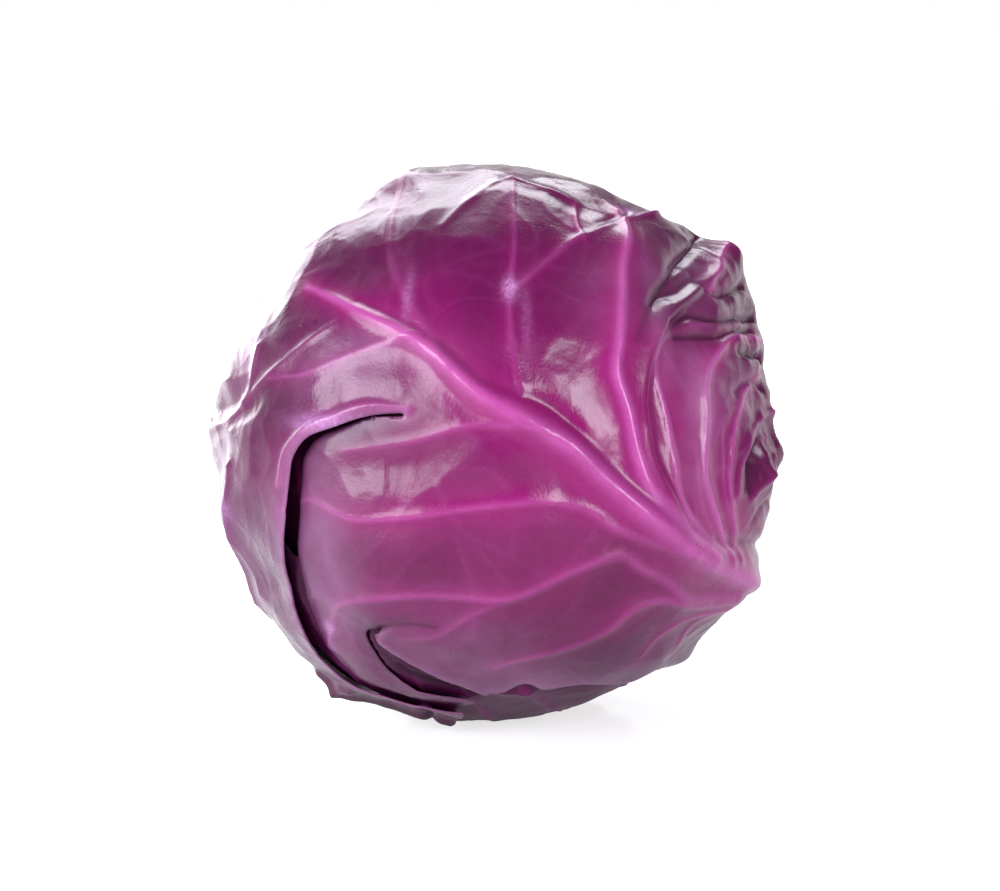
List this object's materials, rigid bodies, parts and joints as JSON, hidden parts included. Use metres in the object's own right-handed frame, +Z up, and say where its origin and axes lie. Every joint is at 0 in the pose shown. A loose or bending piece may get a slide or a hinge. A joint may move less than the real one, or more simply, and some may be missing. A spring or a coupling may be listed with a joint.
{
  "type": "red cabbage head",
  "caption": "Red cabbage head lying on its side: a tight round heart with a short cut stem, closed in purple wrapper leaves with a raised midrib and a torn front leaf.",
  "frame": {"origin": "on the surface the head lies on, below the middle of its bounding box", "axes": "+Z up, +X towards the side the cut stem points to, -Y out through the front wrapper leaf"},
  "size_m": [0.1588, 0.1552, 0.156],
  "materials": {
    "wrapper_leaf": "satin",
    "dark_leaf": "satin",
    "inner_leaves": "satin",
    "stem": "matte"
  },
  "bodies": {
    "root": {"heart": "inner_leaves", "stem_stump": "stem", "front_leaf": "wrapper_leaf", "under_leaf": "dark_leaf", "back_leaf": "wrapper_leaf", "inner_leaf": "dark_leaf"}
  },
  "joints": []
}
